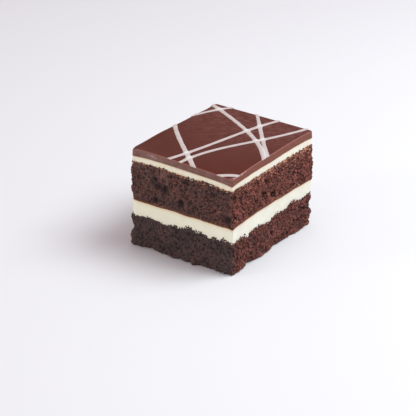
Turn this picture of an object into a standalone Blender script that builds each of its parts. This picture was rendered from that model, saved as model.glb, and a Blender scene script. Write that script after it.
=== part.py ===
"""A cut portion of chocolate layer cake.

Two dark sponges with a cream filling between them, a thin coat of cream over the upper one, and
a chocolate glaze with piped lines on top. Every layer runs right through the cake.

Metres, +Z up. The cake stands on z = 0 with its middle over the origin. Its corners are named as
they lie round the front one: left (-X, -Y), front (+X, -Y), right (+X, +Y) and back (-X, +Y).
"""

import math
from collections import namedtuple

import bmesh
import bpy
from mathutils import Vector, noise

MM = 0.001

# Driving dimensions
WIDTH = 65.0 * MM               # of the glaze along X
DEPTH = 75.1 * MM               # of the glaze along Y
CORNER_RADII = (0.9 * MM, 1.8 * MM, 1.8 * MM, 1.8 * MM)     # of the front, right, back and left corner
CORNER_STEPS = 2                # pieces round each of them
CORNER_REACH = 0.5 * MM         # how far in the crumb's clefts reach there
GAP = 0.3 * MM                  # between one layer and the next
STATION_PITCH = 2.1 * MM        # between the points round a crumbly layer
GLAZE_PITCH = 5.0 * MM          # between the points round the smooth glaze
ROW_PITCH = 2.1 * MM            # between the rows of points up a side
RIM_DEPTH = 5.0 * MM            # how far in from a side a seam is uneven
SPREAD_X = 1.6 * MM             # how far the foot of the cake sags towards its left corner, along X
SPREAD_Y = 1.0 * MM             # and along Y
SAG_HEIGHT = 56 * MM            # height above which nothing sags
TUCK_X = 0.7 * MM               # how far the lower sponge is set in at the right corner, along X
TUCK_Y = 0.6 * MM               # and along Y

# A seam's height over three corners, which set its plane, how far it bows up in the middle of its
# -Y edge and its +X edge, and how its edge wanders: a ripple's height and length, and finer teeth
Seam = namedtuple("Seam", "left front right bow_near bow_side ripple ripple_length teeth")
FLOOR = Seam(0, 0, 0, 0, 0, 0, 1, 0)
FILLING_FOOT = Seam(18.2 * MM, 18.9 * MM, 18.9 * MM, 0, 0, 0.6 * MM, 6 * MM, 0.6 * MM)
FILLING_TOP = Seam(27.2 * MM, 26.65 * MM, 27.0 * MM, 0, 1.25 * MM, 0.5 * MM, 9 * MM, 0.1 * MM)
COAT_FOOT = Seam(49.3 * MM, 47.5 * MM, 48.05 * MM, 0.8 * MM, 0.5 * MM, 0.5 * MM, 7 * MM, 0.5 * MM)
COAT_TOP = Seam(52.25 * MM, 50.3 * MM, 51.6 * MM, 1.25 * MM, 1.05 * MM, 0.15 * MM, 14 * MM, 0)
GLAZE_TOP = Seam(56.3 * MM, 54.2 * MM, 55.2 * MM, 1.0 * MM, 1.25 * MM, 0.15 * MM, 16 * MM, 0)
TEETH_LENGTH = 2.2 * MM
CORNER_LIFT = 0.25 * MM         # of the glaze at its left and right corners, and its dip at the others

# Where the sponge's edge under the filling, and the glaze's top edge, stand clearly high or low
# x, y, radius, lift
FOOT_BUMPS = (
    (-24.5 * MM, -37.5 * MM, 3.0 * MM, 0.8 * MM),
    (-11 * MM, -37.5 * MM, 3.0 * MM, -0.8 * MM),
    (5.6 * MM, -37.5 * MM, 2.4 * MM, 1.6 * MM),
    (12.1 * MM, -37.5 * MM, 2.4 * MM, 1.1 * MM),
    (17.9 * MM, -37.5 * MM, 1.8 * MM, -1.1 * MM),
    (32.5 * MM, -23.9 * MM, 3.0 * MM, -1.1 * MM),
    (32.5 * MM, -3.7 * MM, 2.6 * MM, -1.0 * MM),
    (32.5 * MM, 3.0 * MM, 2.0 * MM, 0.6 * MM),
    (32.5 * MM, 12.5 * MM, 2.0 * MM, -0.8 * MM),
    (32.5 * MM, 18.5 * MM, 4.0 * MM, 1.7 * MM),
    (32.5 * MM, 28 * MM, 3.0 * MM, -0.9 * MM),
)
TOP_BUMPS = (
    (-32.5 * MM, -12 * MM, 10 * MM, 0.35 * MM),
    (-32.5 * MM, 28 * MM, 5 * MM, -0.4 * MM),
    (-32.5 * MM, -37.5 * MM, 2.2 * MM, -1.0 * MM),
)

# The crumb of a cut side: rounded lumps with clefts between them, and finer grains
LUMP_SIZE = 3.6 * MM
LUMP_HEIGHT = 1.9 * MM
LUMP_LEVEL = 0.42               # how far from a lump's middle, in lump sizes, it meets the cut
GRAIN_SIZE = 1.6 * MM
GRAIN_HEIGHT = 0.8 * MM
ROW_SHIFT = 0.5 * MM            # how far a row of points strays up or down
SEAM_HOLD = 0.3                 # share of the crumb's relief left where a layer meets the next
CREAM_SHARE = 0.1               # share of it that the knife dragged over the cream

# The largest lumps (out) and pores and broken places (in)
# x, y, z, radius, push
LANDMARKS = (
    (-20.8 * MM, -37.5 * MM, 0.5 * MM, 2.8 * MM, -1.6 * MM),
    (-4.8 * MM, -37.5 * MM, 0.5 * MM, 3.2 * MM, 1.3 * MM),
    (2.9 * MM, -37.5 * MM, 0.5 * MM, 2.4 * MM, 0.9 * MM),
    (8.6 * MM, -37.5 * MM, 0.5 * MM, 2.2 * MM, 1.9 * MM),
    (25.9 * MM, -37.5 * MM, 0.5 * MM, 3.4 * MM, 1.3 * MM),
    (-17.0 * MM, -37.5 * MM, 42.0 * MM, 1.7 * MM, -1.1 * MM),
    (-13.9 * MM, -37.5 * MM, 40.0 * MM, 2.0 * MM, -1.5 * MM),
    (-10.3 * MM, -37.5 * MM, 38.3 * MM, 2.0 * MM, -1.4 * MM),
    (-16.6 * MM, -37.5 * MM, 30.5 * MM, 1.9 * MM, -1.2 * MM),
    (-0.2 * MM, -37.5 * MM, 33.0 * MM, 2.4 * MM, -1.4 * MM),
    (29.4 * MM, -37.5 * MM, 31.3 * MM, 2.2 * MM, -1.2 * MM),
    (32.5 * MM, -22.5 * MM, 0.5 * MM, 3.6 * MM, -2.5 * MM),
    (32.5 * MM, -17.0 * MM, 0.5 * MM, 2.6 * MM, -1.0 * MM),
    (32.5 * MM, 4.5 * MM, 0, 8.0 * MM, -1.4 * MM),
    (32.5 * MM, 17.6 * MM, 0, 4.0 * MM, -1.1 * MM),
    (32.5 * MM, -9.0 * MM, 35.5 * MM, 2.1 * MM, -1.5 * MM),
    (32.5 * MM, -0.5 * MM, 32.4 * MM, 2.4 * MM, -1.8 * MM),
    (32.5 * MM, -6.4 * MM, 43.0 * MM, 2.0 * MM, -1.3 * MM),
    (32.5 * MM, 20.0 * MM, 38.6 * MM, 2.0 * MM, -1.3 * MM),
    (32.5 * MM, 37.5 * MM, 4.0 * MM, 1.8 * MM, -1.6 * MM),
    (32.5 * MM, 37.5 * MM, 7.8 * MM, 2.4 * MM, 0.9 * MM),
    (32.5 * MM, 37.5 * MM, 11.3 * MM, 2.4 * MM, -1.5 * MM),
    (32.5 * MM, 37.5 * MM, 42.0 * MM, 1.8 * MM, -0.8 * MM),
    (-32.5 * MM, -37.5 * MM, 6.8 * MM, 2.6 * MM, 0.9 * MM),
    (-32.5 * MM, -37.5 * MM, 10.4 * MM, 2.0 * MM, -1.3 * MM),
    (-32.5 * MM, -37.5 * MM, 29.4 * MM, 1.8 * MM, -1.1 * MM),
    (-32.5 * MM, -37.5 * MM, 32.8 * MM, 2.2 * MM, 0.6 * MM),
    (-32.5 * MM, -37.5 * MM, 39.0 * MM, 4.0 * MM, 0.4 * MM),
)

# The glaze's top edge: the radius it is rounded to, and the steps of that round
EDGE_RADIUS = 0.7 * MM
EDGE_STEPS = 3
TOP_STEPS = 4                   # from the glaze's rim to the middle of its top

# The piped lines: width, and the control points of the curve it follows over the top
WIDE_LINE = 2.6 * MM
THIN_LINE = 2.2 * MM
LINE_FLATNESS = 0.42            # height over half the width
LINE_SINK = 0.12 * MM           # how far a line's middle lies under the glaze's surface
LINES = {
    "wide_left": (WIDE_LINE, ((-33.8, 1.3), (-20.6, -13.4), (-4.6, -26.1), (9.7, -38.9))),
    "wide_long": (WIDE_LINE, ((-33.8, 35.1), (-8.9, 23.7), (16.1, 12.0), (33.8, -10.5))),
    "wide_right": (THIN_LINE, ((-5.4, 38.9), (7.5, 23.6), (19.9, 7.4), (33.8, -7.4))),
    "thin_steep": (THIN_LINE, ((-8.0, -38.9), (-0.2, -17.2), (0.9, 10.5), (10.6, 38.9))),
    "thin_long": (THIN_LINE, ((-0.4, -38.9), (2.0, -5.1), (23.2, 8.6), (28.7, 38.9))),
    "thin_back": (THIN_LINE, ((-33.8, 13.6), (-30.1, 22.4), (-25.6, 30.8), (-20.4, 38.9))),
    "thin_front": (THIN_LINE, ((22.6, -38.9), (25.5, -36.7), (29.6, -33.2), (33.8, -31.3))),
}
LINE_STEPS = 4                  # pieces between one control point and the next
LINE_INSET = 0.15 * MM          # of the cut that ends a line, from the glaze's side

# A point of the outline, the way its side faces, and how far in the crumb may reach there
Station = namedtuple("Station", "x y nx ny reach")


def clear_scene():
    for thing in list(bpy.data.objects):
        bpy.data.objects.remove(thing, do_unlink=True)


def new_collection(name):
    collection = bpy.data.collections.new(name)
    bpy.context.scene.collection.children.link(collection)
    return collection


def material(name, colour, roughness):
    finish = bpy.data.materials.new(name)
    finish.use_nodes = True
    shader = finish.node_tree.nodes["Principled BSDF"]
    shader.inputs["Base Color"].default_value = (*colour, 1)
    shader.inputs["Roughness"].default_value = roughness
    shader.inputs["Metallic"].default_value = 0
    return finish


def corner(quarter):
    """The middle of a corner's round and its radius: 0 is the front corner, 1 the right one."""
    radius = CORNER_RADII[quarter % 4]
    side_x = (1, 1, -1, -1)[quarter % 4]
    side_y = (-1, 1, 1, -1)[quarter % 4]
    return side_x * (WIDTH / 2 - radius), side_y * (DEPTH / 2 - radius), radius


def outline(pitch):
    """Stations round the cut, anticlockwise from the front corner."""
    stations = []
    for quarter in range(4):
        x, y, radius = corner(quarter)
        for step in range(CORNER_STEPS + 1):
            angle = (quarter - 1 + step / CORNER_STEPS) * math.pi / 2
            nx, ny = math.cos(angle), math.sin(angle)
            stations.append(Station(x + radius * nx, y + radius * ny, nx, ny, CORNER_REACH))
        start = Vector(stations[-1][:2])
        x, y, radius = corner(quarter + 1)
        end = Vector((x + radius * nx, y + radius * ny))
        steps = round((end - start).length / pitch)
        for step in range(1, steps):
            place = start.lerp(end, step / steps)
            stations.append(Station(place.x, place.y, nx, ny, LUMP_SIZE))
    return stations


def crumb(at, z):
    """How the crumb stands out of the cut at a height over a station, as a vector."""
    point = Vector((at.x, at.y, z))
    nearest = noise.voronoi(point / LUMP_SIZE)[0][0]
    push = LUMP_HEIGHT * (LUMP_LEVEL - nearest) + GRAIN_HEIGHT * noise.noise(point / GRAIN_SIZE)
    relief = Vector((at.nx, at.ny, 0)) * max(push, -at.reach)
    for x, y, lift, radius, height in LANDMARKS:
        # out of the side, or of both sides that meet at a corner
        facing = Vector((int(2.05 * x / WIDTH), int(2.05 * y / DEPTH), 0)).normalized()
        distance = (point - Vector((x, y, lift))).length
        relief += facing * height * math.exp(-(distance / radius) ** 2)
    return relief


def sag(point):
    """Where a point of a cake that stood straight has settled to."""
    low = max(0, 1 - point.z / SAG_HEIGHT)
    left = 0.5 - point.x / WIDTH
    near = 0.5 - point.y / DEPTH
    under = (FILLING_TOP.front - point.z) / (FILLING_TOP.front - FILLING_FOOT.front)
    tuck = min(1, max(0, under)) * (1 - left) * (1 - near)
    shift_x = SPREAD_X * low * left + TUCK_X * tuck
    shift_y = SPREAD_Y * low * left * near + TUCK_Y * tuck
    return point - Vector((shift_x, shift_y, 0))


def seam_surface(seam, x, y):
    """The seam's height: a sloping plane that bows up towards the -Y and +X sides."""
    rise_x = (seam.front - seam.left) / WIDTH
    rise_y = (seam.right - seam.front) / DEPTH
    plane = seam.front + rise_x * (x - WIDTH / 2) + rise_y * (y + DEPTH / 2)
    across, along = 2 * x / WIDTH, 2 * y / DEPTH
    near = seam.bow_near * (1 - across ** 4) * ((1 - along) / 2) ** 2
    side = seam.bow_side * (1 - along ** 4) * ((1 + across) / 2) ** 2
    return plane + near + side


def seam_wander(seam, x, y):
    """How far the seam's edge strays from its surface."""
    height = seam.ripple * noise.noise(Vector((x, y, seam.front)) / seam.ripple_length)
    height += seam.teeth * noise.noise(Vector((x, y, seam.front)) / TEETH_LENGTH)
    for bx, by, radius, lift in {FILLING_FOOT: FOOT_BUMPS, GLAZE_TOP: TOP_BUMPS}.get(seam, ()):
        height += lift * math.exp(-((x - bx) ** 2 + (y - by) ** 2) / radius ** 2)
    if seam is GLAZE_TOP:
        height += CORNER_LIFT * 4 * x * y / (WIDTH * DEPTH)
    return height


def seam_rings(seam, stations, side):
    """A seam's edge and the ring inside it, on the layer over (side 1) or under it (side -1)."""
    edge, inner = [], []
    clear = side * GAP / 2 if seam is not FLOOR else 0
    for at in stations:
        point = Vector((at.x, at.y, seam_surface(seam, at.x, at.y)))
        if seam not in (COAT_TOP, GLAZE_TOP):
            point += SEAM_HOLD * crumb(at, point.z)
        point.z += seam_wander(seam, at.x, at.y) + clear
        edge.append(sag(point))
        x = point.x * (1 - 2 * RIM_DEPTH / WIDTH)
        y = point.y * (1 - 2 * RIM_DEPTH / DEPTH)
        inner.append(sag(Vector((x, y, seam_surface(seam, x, y) + clear))))
    return edge, inner


def side_ring(stations, low_ring, high_ring, share, relief):
    """A ring up the side between two seams' edges, pushed out by a share of the crumb's relief."""
    ring = []
    for at, low, high in zip(stations, low_ring, high_ring):
        z = low.z + (high.z - low.z) * share
        z += ROW_SHIFT * noise.noise(Vector((at.x, at.y, z + 1)) / GRAIN_SIZE)
        ring.append(sag(Vector((at.x, at.y, z)) + relief * crumb(at, z)))
    return ring


def band(bm, low, high, leans):
    """Two triangles between each pair of stations; leans says which way their diagonal runs."""
    for here in range(len(low)):
        after = (here + 1) % len(low)
        a, b, c, d = low[here], low[after], high[after], high[here]
        if leans(here):
            bm.faces.new((a, b, d))
            bm.faces.new((b, c, d))
        else:
            bm.faces.new((a, b, c))
            bm.faces.new((a, c, d))


def fan(bm, ring):
    """Closes a ring with triangles round its middle."""
    middle = bm.verts.new(sum((vert.co for vert in ring), Vector()) / len(ring))
    for here, after in zip(ring, ring[1:] + ring[:1]):
        bm.faces.new((here, after, middle))


def loft(name, rings, finish, collection):
    """A closed body through rings of points, from inside its base, up its side, to inside its top."""
    bm = bmesh.new()
    loops = [[bm.verts.new(point) for point in ring] for ring in rings]
    last = len(loops) - 2
    for level in range(last + 1):
        # the two sides of a seam have their diagonals over one another
        if level == 0:
            band(bm, loops[level], loops[level + 1], lambda here: True)
        elif level == last:
            band(bm, loops[level], loops[level + 1], lambda here: False)
        else:
            band(bm, loops[level], loops[level + 1], lambda here: (here + level) % 2)
    fan(bm, loops[0][::-1])
    fan(bm, loops[-1])
    mesh = bpy.data.meshes.new(name)
    bm.to_mesh(mesh)
    bm.free()
    mesh.materials.append(finish)
    body = bpy.data.objects.new(name, mesh)
    collection.objects.link(body)
    return body


def make_layer(name, low_seam, high_seam, relief, finish, collection):
    """A layer of sponge or cream between two seams."""
    stations = outline(STATION_PITCH)
    low_edge, low_inner = seam_rings(low_seam, stations, 1)
    high_edge, high_inner = seam_rings(high_seam, stations, -1)
    rows = round((high_seam.front - low_seam.front) / ROW_PITCH)
    sides = [side_ring(stations, low_edge, high_edge, row / rows, relief) for row in range(1, rows)]
    return loft(name, [low_inner, low_edge, *sides, high_edge, high_inner], finish, collection)


def glaze_edge_drop(inset):
    """How far the rounded top edge lies below the top, at a distance in from the side."""
    reach = max(0, EDGE_RADIUS - inset)
    return EDGE_RADIUS - math.sqrt(max(0, EDGE_RADIUS ** 2 - reach ** 2))


def top_ring(stations, size):
    """A ring over the bowed top, a share of the size of the one inside the rim."""
    ring = []
    for at in stations:
        x = at.x * (1 - 2 * RIM_DEPTH / WIDTH) * size
        y = at.y * (1 - 2 * RIM_DEPTH / DEPTH) * size
        ring.append(sag(Vector((x, y, seam_surface(GLAZE_TOP, x, y)))))
    return ring


def make_glaze_slab(finish, collection):
    """The plain slab of glaze, its top edge rounded."""
    stations = outline(GLAZE_PITCH)
    low_edge, low_inner = seam_rings(COAT_TOP, stations, 1)
    high_edge, high_inner = seam_rings(GLAZE_TOP, stations, 0)
    rings = [low_inner, low_edge]
    for step in range(EDGE_STEPS + 1):
        turn = math.pi / 2 * step / EDGE_STEPS
        inset = EDGE_RADIUS * (1 - math.cos(turn))
        drop = glaze_edge_drop(inset)
        rings.append([
            point - Vector((at.nx * inset, at.ny * inset, drop)) for at, point in zip(stations, high_edge)
        ])
    rings.append(high_inner)
    rings += [top_ring(stations, 1 - step / TOP_STEPS) for step in range(1, TOP_STEPS)]
    return loft("chocolate_glaze", rings, finish, collection)


def top_height(x, y):
    """The glaze's top surface, as it would run on over its rounded edge."""
    inset = max(0, min(WIDTH / 2 - abs(x), DEPTH / 2 - abs(y)))
    rim = max(0, 1 - inset / RIM_DEPTH)
    return seam_surface(GLAZE_TOP, x, y) + rim * seam_wander(GLAZE_TOP, x, y)


def cut_ends(bm):
    """Cuts a line off beside the cake's four sides."""
    across, along = WIDTH / 2 - LINE_INSET, DEPTH / 2 - LINE_INSET
    for place in ((across, 0, 0), (-across, 0, 0), (0, along, 0), (0, -along, 0)):
        everything = [*bm.verts, *bm.edges, *bm.faces]
        bmesh.ops.bisect_plane(bm, geom=everything, plane_co=place, plane_no=place, clear_outer=True)
    rims = [edge for edge in bm.edges if edge.is_boundary]
    bmesh.ops.holes_fill(bm, edges=rims)


def make_line(name, width, controls, collection):
    """One piped line, a flattened tube along a smooth curve that lies on the glaze."""
    curve = bpy.data.curves.new(name, "CURVE")
    curve.dimensions = "3D"
    curve.bevel_depth = width / 2
    curve.bevel_resolution = 2
    curve.use_fill_caps = True
    curve.resolution_u = LINE_STEPS
    spline = curve.splines.new("NURBS")
    spline.points.add(len(controls) - 1)
    for point, (x, y) in zip(spline.points, controls):
        point.co = (x * MM, y * MM, 0, 1)
    spline.order_u = len(controls)
    spline.use_endpoint_u = True
    rope = bpy.data.objects.new(name, curve)
    collection.objects.link(rope)
    bpy.context.view_layer.update()
    evaluated = rope.evaluated_get(bpy.context.evaluated_depsgraph_get())
    mesh = bpy.data.meshes.new_from_object(evaluated)
    bm = bmesh.new()
    bm.from_mesh(mesh)
    bmesh.ops.remove_doubles(bm, verts=bm.verts, dist=0.01 * MM)
    for vert in bm.verts:
        x, y, up = vert.co
        vert.co.z = top_height(x, y) - LINE_SINK + up * LINE_FLATNESS
    cut_ends(bm)
    bmesh.ops.recalc_face_normals(bm, faces=bm.faces)
    bm.to_mesh(mesh)
    bm.free()
    body = bpy.data.objects.new(name, mesh)
    body.matrix_world = rope.matrix_world
    collection.objects.link(body)
    bpy.data.objects.remove(rope, do_unlink=True)
    return body


def pipe_lines(glaze):
    """Joins the piped lines to the glaze as one body."""
    lines = new_collection("piped_lines")
    for name, (width, controls) in LINES.items():
        make_line(name, width, controls, lines)
    union = glaze.modifiers.new("piped_lines", "BOOLEAN")
    union.operation = "UNION"
    union.solver = "MANIFOLD"
    union.operand_type = "COLLECTION"
    union.collection = lines
    bpy.context.view_layer.update()
    evaluated = glaze.evaluated_get(bpy.context.evaluated_depsgraph_get())
    joined = bpy.data.meshes.new_from_object(evaluated)
    glaze.modifiers.remove(union)
    glaze.data = joined
    for line in list(lines.objects):
        bpy.data.objects.remove(line, do_unlink=True)
    bpy.data.collections.remove(lines)


def stand_over_origin(bodies):
    """Moves the meshes so that the middle of the cake's box is over the origin."""
    points = [vert.co for body in bodies for vert in body.data.vertices]
    middle_x = (min(p.x for p in points) + max(p.x for p in points)) / 2
    middle_y = (min(p.y for p in points) + max(p.y for p in points)) / 2
    for body in bodies:
        for vert in body.data.vertices:
            vert.co -= Vector((middle_x, middle_y, 0))


def main():
    clear_scene()
    cake = new_collection("chocolate_layer_cake")
    lower = material("lower_sponge", (0.075, 0.028, 0.024), 0.95)
    upper = material("upper_sponge", (0.085, 0.032, 0.027), 0.95)
    filling = material("cream_filling", (0.80, 0.76, 0.64), 0.6)
    coat = material("cream_coat", (0.80, 0.76, 0.64), 0.6)
    chocolate = material("chocolate_glaze", (0.13, 0.042, 0.035), 0.35)
    bodies = [
        make_layer("lower_sponge", FLOOR, FILLING_FOOT, 1, lower, cake),
        make_layer("cream_filling", FILLING_FOOT, FILLING_TOP, CREAM_SHARE, filling, cake),
        make_layer("upper_sponge", FILLING_TOP, COAT_FOOT, 1, upper, cake),
        make_layer("cream_coat", COAT_FOOT, COAT_TOP, CREAM_SHARE, coat, cake),
        make_glaze_slab(chocolate, cake),
    ]
    pipe_lines(bodies[-1])
    stand_over_origin(bodies)


main()
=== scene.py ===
"""The looks of a cut portion of chocolate layer cake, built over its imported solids.

Metres, +Z up. The corners are the left one (-X, -Y), the front (+X, -Y), the right (+X, +Y) and the
back (-X, +Y).
"""

import math
import random
from collections import namedtuple

import bmesh
import bpy
import numpy as np
from mathutils import Matrix, Vector, noise


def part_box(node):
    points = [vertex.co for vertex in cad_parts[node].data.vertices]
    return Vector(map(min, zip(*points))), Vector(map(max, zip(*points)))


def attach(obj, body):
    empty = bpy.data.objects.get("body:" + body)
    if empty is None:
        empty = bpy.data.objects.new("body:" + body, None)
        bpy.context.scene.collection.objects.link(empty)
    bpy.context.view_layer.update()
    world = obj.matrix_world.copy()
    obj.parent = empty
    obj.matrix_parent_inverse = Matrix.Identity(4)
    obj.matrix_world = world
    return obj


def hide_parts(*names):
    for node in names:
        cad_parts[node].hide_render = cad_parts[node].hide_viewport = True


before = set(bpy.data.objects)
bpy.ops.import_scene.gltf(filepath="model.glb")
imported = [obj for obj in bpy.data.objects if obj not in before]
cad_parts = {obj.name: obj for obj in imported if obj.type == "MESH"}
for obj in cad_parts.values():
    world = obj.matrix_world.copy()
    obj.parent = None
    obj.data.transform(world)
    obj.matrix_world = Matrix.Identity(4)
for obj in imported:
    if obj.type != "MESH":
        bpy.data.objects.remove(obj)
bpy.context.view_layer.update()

MM = 0.001

# ---- The cake's form

WIDTH = 65.0 * MM         # of the glaze along X
DEPTH = 75.1 * MM         # of the glaze along Y
# The front, right, back and left corner: side along X, side along Y, radius
CORNERS = ((1, -1, 0.9 * MM), (1, 1, 1.8 * MM), (-1, 1, 1.8 * MM), (-1, -1, 1.8 * MM))
RIM_DEPTH = 5.0 * MM      # how far in from a side a seam is uneven
SPREAD_X = 1.6 * MM       # how far the foot of the cake sags towards its left corner, along X
SPREAD_Y = 1.0 * MM       # and along Y
SAG_HEIGHT = 56 * MM      # height above which nothing sags
TUCK_X = 0.7 * MM         # how far the lower sponge is set in at the right corner, along X
TUCK_Y = 0.6 * MM         # and along Y

# A seam between two layers: its height at three corners, how far it bows up over -Y and over +X, the
# height and length of its ripples, and the height of its teeth
Seam = namedtuple("Seam", "left front right bow_near bow_side ripple ripple_length teeth")
FLOOR = Seam(0, 0, 0, 0, 0, 0, 1, 0)
FILLING_FOOT = Seam(18.2 * MM, 18.9 * MM, 18.9 * MM, 0, 0, 0.6 * MM, 6 * MM, 0.6 * MM)
FILLING_TOP = Seam(27.2 * MM, 26.65 * MM, 27.0 * MM, 0, 1.25 * MM, 0.5 * MM, 9 * MM, 0.1 * MM)
COAT_FOOT = Seam(49.3 * MM, 47.5 * MM, 48.05 * MM, 0.8 * MM, 0.5 * MM, 0.5 * MM, 7 * MM, 0.5 * MM)
COAT_TOP = Seam(52.25 * MM, 50.3 * MM, 51.6 * MM, 1.25 * MM, 1.05 * MM, 0.15 * MM, 14 * MM, 0)
GLAZE_TOP = Seam(56.3 * MM, 54.2 * MM, 55.2 * MM, 1.0 * MM, 1.25 * MM, 0.15 * MM, 16 * MM, 0)
TEETH_LENGTH = 2.2 * MM
CORNER_LIFT = 0.25 * MM   # of the glaze's left and right corners; the other two drop as far

# The sides of the cut, where the tables' places lie. The tables are in mm, apart from strengths.
LEFT, RIGHT = -32.5, 32.5
NEAR, FAR = -37.5, 37.5

# Where a seam's edge strays: x, y, radius, lift
BUMPS = {
    FILLING_FOOT: (
        (-24.5, NEAR, 3.0, 0.8), (-11, NEAR, 3.0, -0.8), (5.6, NEAR, 2.4, 1.6),
        (12.1, NEAR, 2.4, 1.1), (17.9, NEAR, 1.8, -1.1), (RIGHT, -23.9, 3.0, -1.1),
        (RIGHT, -3.7, 2.6, -1.0), (RIGHT, 3.0, 2.0, 0.6), (RIGHT, 12.5, 2.0, -0.8),
        (RIGHT, 18.5, 4.0, 1.7), (RIGHT, 28, 3.0, -0.9),
    ),
    FILLING_TOP: ((RIGHT, NEAR, 2.6, -0.7),),
    GLAZE_TOP: ((LEFT, -12, 10, 0.35), (LEFT, 28, 5, -0.4), (LEFT, NEAR, 2.2, -1.0)),
}

# The largest lumps and broken places of the crumb: x, y, z, radius, push
LANDMARKS = (
    (-20.8, NEAR, 0.5, 2.8, -1.6), (-4.8, NEAR, 0.5, 3.2, 1.3), (2.9, NEAR, 0.5, 2.4, 0.9),
    (8.6, NEAR, 0.5, 2.2, 1.9), (25.9, NEAR, 0.5, 3.4, 1.3), (-17.0, NEAR, 42.0, 1.7, -1.1),
    (-13.9, NEAR, 40.0, 2.0, -1.5), (-10.3, NEAR, 38.3, 2.0, -1.4), (-16.6, NEAR, 30.5, 1.9, -1.2),
    (-0.2, NEAR, 33.0, 2.4, -1.4), (29.4, NEAR, 31.3, 2.2, -1.2), (RIGHT, -22.5, 0.5, 3.6, -2.5),
    (RIGHT, -17.0, 0.5, 2.6, -1.0), (RIGHT, 4.5, 0, 8.0, -1.4), (RIGHT, 17.6, 0, 4.0, -1.1),
    (RIGHT, -9.0, 35.5, 2.1, -1.5), (RIGHT, -0.5, 32.4, 2.4, -1.8), (RIGHT, -6.4, 43.0, 2.0, -1.3),
    (RIGHT, 20.0, 38.6, 2.0, -1.3), (RIGHT, FAR, 4.0, 1.8, -1.6), (RIGHT, FAR, 7.8, 2.4, 0.9),
    (RIGHT, FAR, 11.3, 2.4, -1.5), (RIGHT, FAR, 42.0, 1.8, -0.8), (LEFT, NEAR, 1.0, 2.2, 1.1),
    (LEFT, NEAR, 6.8, 2.6, 0.9), (LEFT, NEAR, 10.4, 2.0, -1.3), (LEFT, NEAR, 29.4, 1.8, -1.1),
    (LEFT, NEAR, 32.8, 2.2, 0.6), (LEFT, NEAR, 39.0, 4.0, 0.4),
)

EDGE_RADIUS = 0.7 * MM    # of the glaze's top edge
STROKE_TURN = math.radians(37)  # of the strokes over the top

WIDE_LINE = 2.6 * MM
THIN_LINE = 2.2 * MM
LINE_FLATNESS = 0.42      # a line's height over its width
LINE_SINK = 0.12 * MM     # how far a line's middle lies under the glaze's top
LINE_INSET = 0.15 * MM    # how far inside the cut it ends
LINE_SIDES = 18           # points round a line
LINE_CELL = 0.45 * MM     # between its rings
LINE_MEETING = 2.1 * MM   # how near another line makes it swell
LINE_CROSSING = 1.2 * MM  # and how near turns it whiter
CURVE_STEPS = 200         # points that measure a line's length
MEETING_STEPS = 160       # and points for the distance to it
LINES = {
    "wide_left": (WIDE_LINE, ((-33.8, 1.3), (-20.6, -13.4), (-4.6, -26.1), (9.7, -38.9))),
    "wide_long": (WIDE_LINE, ((-33.8, 35.1), (-8.9, 23.7), (16.1, 12.0), (33.8, -10.5))),
    "thin_right": (THIN_LINE, ((-5.4, 38.9), (7.5, 23.6), (19.9, 7.4), (33.8, -7.4))),
    "thin_steep": (THIN_LINE, ((-8.0, -38.9), (-0.2, -17.2), (0.9, 10.5), (10.6, 38.9))),
    "thin_long": (THIN_LINE, ((-0.4, -38.9), (2.0, -5.1), (23.2, 8.6), (28.7, 38.9))),
    "thin_back": (THIN_LINE, ((-33.8, 13.6), (-30.1, 22.4), (-25.6, 30.8), (-20.4, 38.9))),
    "thin_front": (THIN_LINE, ((22.6, -38.9), (25.5, -36.7), (29.6, -33.2), (33.8, -31.3))),
}

# ---- Its finer surfaces

CRUMB_CELL = 0.26 * MM    # between the points of a sponge's side
CREAM_CELL = 0.40 * MM
GLAZE_CELL = 0.45 * MM
GLAZE_SIDE_STEPS = 8      # rings up the glaze's side,
GLAZE_EDGE_STEPS = 6      # over its edge,
GLAZE_RIM_STEPS = 10      # over its uneven rim
GLAZE_TOP_STEPS = 16      # and on to its middle
TURN_REACH = 2.0 * MM     # how far from a corner the sides' facing starts to turn
OVERLAP = 0.9 * MM        # how far cream reaches behind the sponge's ragged edge
CREAM_SET = 0.12 * MM     # how far cream lies behind the cut
CRUMB_BIAS = 0.22 * MM    # how far the crumb's lumps stand out of the cut
RIM_OUT = 0.15 * MM       # and the sponge's edge at a seam
FOOT_TUCK = 0.8 * MM      # how far the crumb draws in where it meets the floor
DEEPEST = -2.4 * MM       # how far the crumb's relief goes in, at most
HIGHEST = 1.0 * MM        # and out
CRUMB_RADII = (0.16 * MM, 0.42 * MM)  # of the loose crumbs along a seam

GAP_DEPTH = 0.85 * MM     # of the crumb's ragged gaps
HOLE_DEPTH = 0.9 * MM     # of its round holes
HOLE_RADII = (0.5 * MM, 0.9 * MM)
HOLES_PER_MM2 = 0.02
PORE_DEPTH = 1.2 * MM     # of its largest pores
PORE_RADII = (1.0 * MM, 1.7 * MM)
PORES_PER_MM2 = 0.006     # on the two far sides
GRAIN_HEIGHTS = (0.10, 0.45)  # in mm
GRAIN_RADII = (0.25 * MM, 0.60 * MM)
GRAINS_PER_MM2 = 1.6

# Size and height of the crumb's lumps, and of the waves that the knife left in the cream
LUMPS = ((7 * MM, 0.45 * MM), (2.8 * MM, 0.50 * MM), (1.5 * MM, 0.45 * MM))
DRAG = ((9 * MM, 0.18 * MM), (2.4 * MM, 0.10 * MM), (0.9 * MM, 0.05 * MM))

# How strongly the crumb shows its own brown, the grey painted sheen over it, its grain and its darker
# parts: over +X, where they paint light (a brighter brown with more contrast), over -Y, where they
# paint shade (a darker, greyer brown with less contrast), and over the other two sides
TINTS = ("tone", "sheen_and_pallor", "grain", "shade")
RIGHT_PAINTED_LIGHT = (1.1, 0.017, 1.85, 0.42)
LOWER_NEAR_SHADE = (0.34, 0.051, 0.58, 0.52)
UPPER_NEAR_SHADE = (0.55, 0.048, 0.85, 0.46)
ELSEWHERE = (0.85, 0.024, 1.1, 0.42)

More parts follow.
